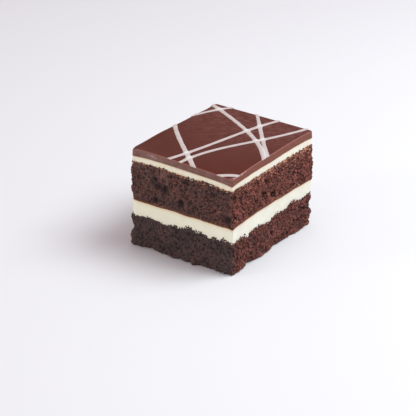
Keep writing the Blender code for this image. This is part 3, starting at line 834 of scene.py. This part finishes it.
def make_lines():
    """All the piped lines as one mesh, with an attribute that says how near another line passes."""
    bodies, crossings = bmesh.new(), []
    for seed, name in enumerate(LINES):
        bm = bmesh.new()
        line_body(bm, name, seed)
        cut_ends(bm)
        bmesh.ops.recalc_face_normals(bm, faces=bm.faces)
        mesh = bpy.data.meshes.new(name)
        bm.to_mesh(mesh)
        bm.free()
        bodies.from_mesh(mesh)
        plan = np.array([vert.co[:2] for vert in mesh.vertices])
        crossings.append(np.exp(-(distance_to_others(plan, name) / LINE_CROSSING) ** 2))
        bpy.data.meshes.remove(mesh)
    mesh = bpy.data.meshes.new("piped_lines")
    bodies.to_mesh(mesh)
    bodies.free()
    points = np.array([vert.co for vert in mesh.vertices])
    mesh.vertices.foreach_set("co", settled(points).ravel())
    set_values(mesh, "crossing", np.concatenate(crossings))
    mesh.shade_smooth()
    mesh.set_sharp_from_angle(angle=math.radians(50))
    return new_object("piped_lines", mesh)


# ---- Materials

# Colours, linear. A pair is two colours that a noise mixes, but the pale marks' pair is over +X and
# over -Y, the one over -Y a copy in painted shade.
LOWER_BROWN = (0.0765, 0.0176, 0.0099)
UPPER_BROWN = (0.091, 0.0210, 0.0116)
# The grey of each sponge's painted sheen, a painted reflection of the pale surroundings
LOWER_SHEEN = (1.0, 0.87, 0.92)
UPPER_SHEEN = (1.0, 0.79, 0.80)
# What a sponge's brown is multiplied by, from its highest grains, lighter as painted highlight, to its
# pores, near black as painted shade, and in its flecks of painted glint
CRUMB_RAMP = (0.0, (2.2, 2.9, 3.7)), (0.35, (1.2, 1.22, 1.38)), (0.60, (0.7, 0.69, 0.77)), (1.0, 0.06)
GLINT_FLECKS = (3.6, 5.4, 7.2)
CRUST = (0.155, 0.052, 0.027)
SMEAR = (0.60, 0.27, 0.175)
FILLING_CREAM = (0.888, 0.88, 0.76)
COAT_CREAM = (0.888, 0.87, 0.755)
STAIN = (0.66, 0.34, 0.13)
GLAZE_SMOOTH = (0.102, 0.0225, 0.0130), (0.116, 0.0270, 0.0165)
# Streaks of painted sheen on the back of the glaze's top
GLAZE_SHEEN_STREAKS = (0.100, 0.0200, 0.0120), (0.215, 0.082, 0.068)
GLAZE_SIDE = (0.178, 0.060, 0.039), (0.226, 0.081, 0.055)
# The glaze's side over -Y, greyer: painted reflection of the pale floor on its shaded side
NEAR_SIDE_REFLECTION = (0.142, 0.067, 0.053), (0.200, 0.100, 0.082)
PALE_NEAR_SIDE_REFLECTION = (0.196, 0.098, 0.088), (0.262, 0.142, 0.132)
# A painted highlight along the glaze's rounded top edge
GLAZE_EDGE_HIGHLIGHT = (0.36, 0.150, 0.130)
SCUFF_AND_GLINT = (0.60, 0.41, 0.37), (0.44, 0.33, 0.36)
PIPING = (0.592, 0.503, 0.474), (0.662, 0.568, 0.545)
PIPING_CROSSED = (0.85, 0.83, 0.80)
FLOOR_WHITE = (0.895, 0.895, 0.91), (0.91, 0.91, 0.925)
SKY = (1.0, 0.876, 0.948)


class Nodes:
    """A material's node tree, with a short way to add and join nodes."""

    def __init__(self, name, roughness, specular):
        self.material = bpy.data.materials.new(name)
        self.material.use_nodes = True
        self.tree = self.material.node_tree
        self.shader = self.tree.nodes["Principled BSDF"]
        self.shader.inputs["Roughness"].default_value = roughness
        self.shader.inputs["Specular IOR Level"].default_value = specular
        self.place = self.add("ShaderNodeTexCoord").outputs["Object"]

    def add(self, kind, **settings):
        node = self.tree.nodes.new(kind)
        for key, value in settings.items():
            setattr(node, key, value)
        return node

    def put(self, socket, value):
        """Joins another node's output to a socket, or sets the socket to a value."""
        if isinstance(value, bpy.types.NodeSocket):
            self.tree.links.new(value, socket)
        else:
            socket.default_value = value

    def noise(self, size, detail=2.0, roughness=0.5, stretch=(1, 1, 1), turn=0):
        """Noise of a given size, drawn out by stretch along each axis and turned about Z."""
        node = self.add("ShaderNodeTexNoise")
        mapping = self.add("ShaderNodeMapping", vector_type="TEXTURE")
        self.put(mapping.inputs["Vector"], self.place)
        mapping.inputs["Scale"].default_value = stretch
        mapping.inputs["Rotation"].default_value = (0, 0, turn)
        self.put(node.inputs["Vector"], mapping.outputs["Vector"])
        node.inputs["Scale"].default_value = 1 / size
        node.inputs["Detail"].default_value = detail
        node.inputs["Roughness"].default_value = roughness
        return node.outputs["Fac"]

    def attribute(self, name, output="Fac"):
        return self.add("ShaderNodeAttribute", attribute_name=name).outputs[output]

    def span(self, value, low, high, to_low=0.0, to_high=1.0):
        """The value's place between low and high, as a number between to_low and to_high."""
        node = self.add("ShaderNodeMapRange")
        self.put(node.inputs["Value"], value)
        numbers = {"From Min": low, "From Max": high, "To Min": to_low, "To Max": to_high}
        for socket, number in numbers.items():
            node.inputs[socket].default_value = number
        return node.outputs["Result"]

    def math(self, operation, first, second):
        node = self.add("ShaderNodeMath", operation=operation)
        self.put(node.inputs[0], first)
        self.put(node.inputs[1], second)
        return node.outputs["Value"]

    def mix(self, share, first, second, blend="MIX"):
        node = self.add("ShaderNodeMix", data_type="RGBA", blend_type=blend)
        self.put(node.inputs["Factor"], share)
        for socket, colour in ((node.inputs[6], first), (node.inputs[7], second)):
            self.put(socket, (*colour, 1) if isinstance(colour, tuple) else colour)
        return node.outputs[2]

    def ramp(self, value, *stops):
        """A colour between stops, each a place from 0 to 1 and a colour."""
        node = self.add("ShaderNodeValToRGB")
        self.put(node.inputs["Fac"], value)
        elements = node.color_ramp.elements
        while len(elements) < len(stops):
            elements.new(0.5)
        for element, (place, colour) in zip(elements, stops):
            element.position = place
            element.color = (*colour, 1)
        return node.outputs["Color"]

    def colour(self, value):
        self.put(self.shader.inputs["Base Color"], value)

    def bump(self, height, distance, strength=1.0):
        node = self.add("ShaderNodeBump")
        self.put(node.inputs["Height"], height)
        node.inputs["Distance"].default_value = distance
        node.inputs["Strength"].default_value = strength
        self.put(self.shader.inputs["Normal"], node.outputs["Normal"])


def sponge_material(name, tone, sheen_and_pallor):
    """Dark crumb, near black in its pores and redder where it stands out, partly as painted shade and
    highlight, with flecks of painted glint, under a faint grey painted sheen.
    """
    nodes = Nodes(name, 0.9, 0.2)
    plain = np.array(tone)
    fine = nodes.span(nodes.noise(0.85 * MM, 3.0, 0.75), 0.3, 0.7, -0.95, 0.95)
    fine = nodes.math("MULTIPLY", fine, nodes.attribute("grain"))
    broad = nodes.span(nodes.noise(3.5 * MM, 2.0, 0.5), 0.3, 0.7, -0.12, 0.12)
    depth = nodes.math("ADD", nodes.attribute("depth"), nodes.math("ADD", fine, broad))
    # From painted highlight on the highest grains to painted shade in the hollows and pores
    body = nodes.ramp(depth, *((place, tuple(plain * factors)) for place, factors in CRUMB_RAMP))
    # Small flecks of painted glint
    glint_flecks = nodes.span(nodes.noise(0.75 * MM, 2.0, 0.6), 0.57, 0.70, 0.0, 0.6)
    body = nodes.mix(glint_flecks, body, tuple(plain * GLINT_FLECKS))
    # The side's painted light and shade, times the crumb's own patchy tone
    body = nodes.mix(1.0, body, nodes.attribute("tone", "Color"), "MULTIPLY")
    # A grey painted sheen, added to the crumb's colour
    grey = nodes.mix(1.0, nodes.attribute("sheen_and_pallor", "Color"), sheen_and_pallor, "MULTIPLY")
    body = nodes.mix(1.0, body, grey, "ADD")
    body = nodes.mix(nodes.attribute("crust"), body, CRUST)
    torn = nodes.span(nodes.noise(0.9 * MM, 2.0, 0.6), 0.35, 0.65, -0.45, 0.45)
    smear = nodes.span(nodes.math("ADD", nodes.attribute("smear"), torn), 0.40, 0.80, 0.0, 0.95)
    body = nodes.mix(smear, body, SMEAR)
    nodes.colour(body)
    nodes.bump(nodes.noise(0.7 * MM, 3.0, 0.65), 0.22 * MM)
    return nodes.material


def cream_material(name, tone):
    """Cut cream, a little yellower in patches and tinted where the layers by it have stained it."""
    nodes = Nodes(name, 0.5, 0.3)
    plain = np.array(tone)
    mottle = nodes.span(nodes.noise(5 * MM, 3.0, 0.55), 0.3, 0.7)
    body = nodes.mix(mottle, tuple(plain * (0.95, 0.94, 0.91)), tone)
    body = nodes.mix(nodes.attribute("stain"), body, STAIN)
    nodes.colour(body)
    nodes.shader.inputs["Subsurface Weight"].default_value = 0.2
    nodes.shader.inputs["Subsurface Scale"].default_value = 1.5 * MM
    nodes.shader.inputs["Subsurface Radius"].default_value = (1.0, 0.8, 0.5)
    nodes.bump(nodes.noise(0.8 * MM, 3.0, 0.6), 0.08 * MM, 0.6)
    return nodes.material


def glaze_material():
    """Chocolate, smooth on top and paler where the knife dragged down its sides. The back of the top
    takes a painted sheen, the top edge a painted highlight, and the side over -Y a greyer colour that
    paints the pale floor's reflection on its shaded side.
    """
    nodes = Nodes("glaze", 0.45, 0.1)
    cloud = nodes.span(nodes.noise(9 * MM, 2.0), 0.3, 0.7)
    body = nodes.mix(cloud, *GLAZE_SMOOTH)
    # Towards the back, streaks of painted sheen along the strokes over the top
    grain = nodes.span(nodes.noise(1.1 * MM, 3.0, 0.65, (3.5, 1, 1), STROKE_TURN), 0.40, 0.70)
    body = nodes.mix(nodes.attribute("back_sheen"), body, nodes.mix(grain, *GLAZE_SHEEN_STREAKS))
    drag = nodes.span(nodes.noise(1.2 * MM, 3.0, 0.6, (4, 4, 0.5)), 0.3, 0.7)
    patches = nodes.span(nodes.noise(4.5 * MM, 2.0), 0.35, 0.65)
    side = nodes.mix(drag, *GLAZE_SIDE)
    # Over -Y the side turns greyer: painted reflection of the pale floor on its shaded side
    near_side_shading = nodes.mix(patches, nodes.mix(drag, *NEAR_SIDE_REFLECTION), nodes.mix(drag, *PALE_NEAR_SIDE_REFLECTION))
    side = nodes.mix(nodes.attribute("near_side_shading"), side, near_side_shading)
    body = nodes.mix(nodes.attribute("cut"), body, side)
    # A painted highlight along the rounded top edge
    edge = nodes.span(nodes.attribute("edge"), 0.3, 1.0, 0.0, 0.75)
    body = nodes.mix(edge, body, GLAZE_EDGE_HIGHLIGHT)
    # Pale marks by the top edge, partly scuffs and partly painted highlight, greyer over -Y as painted
    # shade
    scratch = nodes.span(nodes.noise(0.8 * MM, 2.0, 0.6, (2, 2, 1)), 0.35, 0.65, -0.35, 0.35)
    scuff_and_glint = nodes.span(nodes.math("ADD", nodes.attribute("scuff_and_glint"), scratch), 0.36, 1.0, 0.0, 0.75)
    body = nodes.mix(scuff_and_glint, body, nodes.mix(nodes.attribute("near_side_shading"), *SCUFF_AND_GLINT))
    nodes.colour(body)
    nodes.bump(nodes.noise(1.6 * MM, 3.0, 0.5, (3, 1, 1)), 0.02 * MM, 0.5)
    return nodes.material


def line_material():
    """Pale chocolate, whiter where two lines lie on one another."""
    nodes = Nodes("piping", 0.5, 0.2)
    cloud = nodes.span(nodes.noise(2.5 * MM, 2.0), 0.3, 0.7)
    body = nodes.mix(cloud, *PIPING)
    body = nodes.mix(nodes.attribute("crossing"), body, PIPING_CROSSED)
    nodes.colour(body)
    nodes.bump(nodes.noise(0.7 * MM, 2.0), 0.04 * MM, 0.5)
    return nodes.material


def floor_material():
    nodes = Nodes("floor", 0.9, 0.1)
    cloud = nodes.span(nodes.noise(0.4, 1.0), 0.3, 0.7)
    nodes.colour(nodes.mix(cloud, *FLOOR_WHITE))
    return nodes.material


# ---- Stage, light and camera


def make_floor():
    mesh = bpy.data.meshes.new("floor")
    bm = bmesh.new()
    bmesh.ops.create_grid(bm, x_segments=12, y_segments=12, size=FLOOR_REACH)
    bm.to_mesh(mesh)
    bm.free()
    floor = new_object("floor", mesh)
    mesh.materials.append(floor_material())


def area_light(name, azimuth, elevation, distance, size, watts, colour):
    """A soft square light that looks at the cake. Azimuth 0 is over -Y and 90 is over +X."""
    light = bpy.data.lights.new(name, "AREA")
    light.shape = "SQUARE"
    light.size = size
    light.energy = watts
    light.color = colour
    lamp = new_object(name, light)
    turn, lift = math.radians(azimuth), math.radians(elevation)
    away = Vector((math.sin(turn) * math.cos(lift), -math.cos(turn) * math.cos(lift), math.sin(lift)))
    lamp.location = away * distance + LIGHT_AIM
    lamp.rotation_euler = away.to_track_quat("Z", "Y").to_euler()


def make_lights():
    for name, settings in LIGHTS.items():
        area_light(name, *settings)
    world = bpy.data.worlds.new("studio")
    world.use_nodes = True
    sky = world.node_tree.nodes["Background"]
    sky.inputs["Color"].default_value = (*SKY, 1)
    sky.inputs["Strength"].default_value = SKY_STRENGTH
    bpy.context.scene.world = world
    bpy.context.scene.view_settings.view_transform = "Standard"


def make_camera():
    camera = bpy.data.cameras.new("camera")
    camera.sensor_width = SENSOR
    camera.lens = LENS
    camera.clip_start = 0.01
    eye = new_object("camera", camera)
    turn = Matrix.Rotation(CAMERA_YAW, 4, "Z") @ Matrix.Rotation(math.pi / 2 - CAMERA_PITCH, 4, "X")
    back = turn @ Vector((0, 0, 1))
    place = CAMERA_AIM - Vector(MIDDLE) + back * CAMERA_DISTANCE
    eye.matrix_world = Matrix.Translation(place) @ turn @ Matrix.Rotation(CAMERA_ROLL, 4, "Z")
    bpy.context.scene.camera = eye


# ---- Putting it together


def dress(piece, material, slot, *nodes):
    """Gives a piece its material, puts it under the root body and hides the nodes that it stands for.
    slot is not used.
    """
    piece.data.materials.append(material)
    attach(piece, "root")
    if nodes:
        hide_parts(*nodes)


def main():
    lower_look = sponge_material("lower_sponge_crumb", LOWER_BROWN, LOWER_SHEEN)
    upper_look = sponge_material("upper_sponge_crumb", UPPER_BROWN, UPPER_SHEEN)
    lower = make_sponge("lower_crumb", FLOOR, FILLING_FOOT, 11, teeth=1.4 * MM, near=LOWER_NEAR_SHADE)
    dress(lower, lower_look, "sponge", "lower_sponge")
    filling = make_cream("filling", FILLING_FOOT, FILLING_TOP, 41, foot_stain=0.1, top_stain=0.72)
    dress(filling, cream_material("filling_cream", FILLING_CREAM), "cream", "cream_filling")
    upper = make_sponge("upper_crumb", FILLING_TOP, COAT_FOOT, 61, teeth=0.6 * MM, near=UPPER_NEAR_SHADE)
    dress(upper, upper_look, "sponge", "upper_sponge")
    coat = make_cream("coat", COAT_FOOT, COAT_TOP, 91, foot_stain=1.0, top_stain=0.5)
    dress(coat, cream_material("coat_cream", COAT_CREAM), "cream", "cream_coat")
    crumbs = make_seam_crumbs("filling_crumbs", FILLING_FOOT, 5, 380, 1.4 * MM, LOWER_NEAR_SHADE)
    dress(crumbs, lower_look, "sponge")
    crumbs = make_seam_crumbs("coat_crumbs", COAT_FOOT, 6, 120, 0.2 * MM, UPPER_NEAR_SHADE)
    dress(crumbs, upper_look, "sponge")
    dress(make_glaze(), glaze_material(), "glaze", "chocolate_glaze")
    dress(make_lines(), line_material(), "piping")
    make_floor()
    make_lights()
    make_camera()


main()
